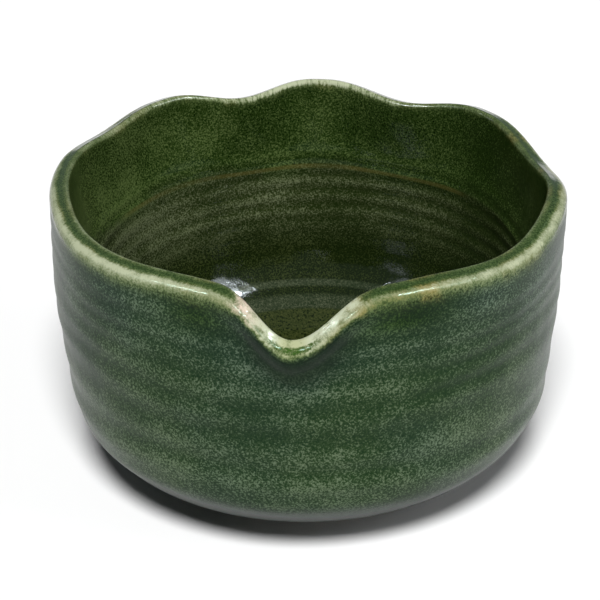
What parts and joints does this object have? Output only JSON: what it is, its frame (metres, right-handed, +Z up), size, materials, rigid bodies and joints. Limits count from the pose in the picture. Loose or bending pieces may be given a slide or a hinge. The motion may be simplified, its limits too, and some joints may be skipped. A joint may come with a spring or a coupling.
{
  "type": "spouted stoneware bowl",
  "caption": "Round wheel-thrown bowl with a scalloped rim, a pinched V-shaped pouring spout, glaze inside and out, and a turned foot ring.",
  "frame": {"origin": "middle of the bowl's overall width and depth, on the surface that the foot ring stands on; the wheel's axis is 1.6 mm behind it", "axes": "+Z up out of the bowl, -Y towards the pouring spout, +X to the right as seen from the spout"},
  "size_m": [0.1305, 0.1324, 0.08],
  "materials": {
    "clay": "bare fired stoneware, matt and slightly sandy",
    "inner_glaze": "glossy dark olive green, broken into pale specks on the throwing rings",
    "outer_glaze": "glossy deep green with a fibrous pale grey-green fleck, cream where it thins over the rim"
  },
  "bodies": {
    "root": {"stoneware_body": "clay", "inner_glaze": "inner_glaze", "outer_glaze": "outer_glaze"}
  },
  "joints": []
}
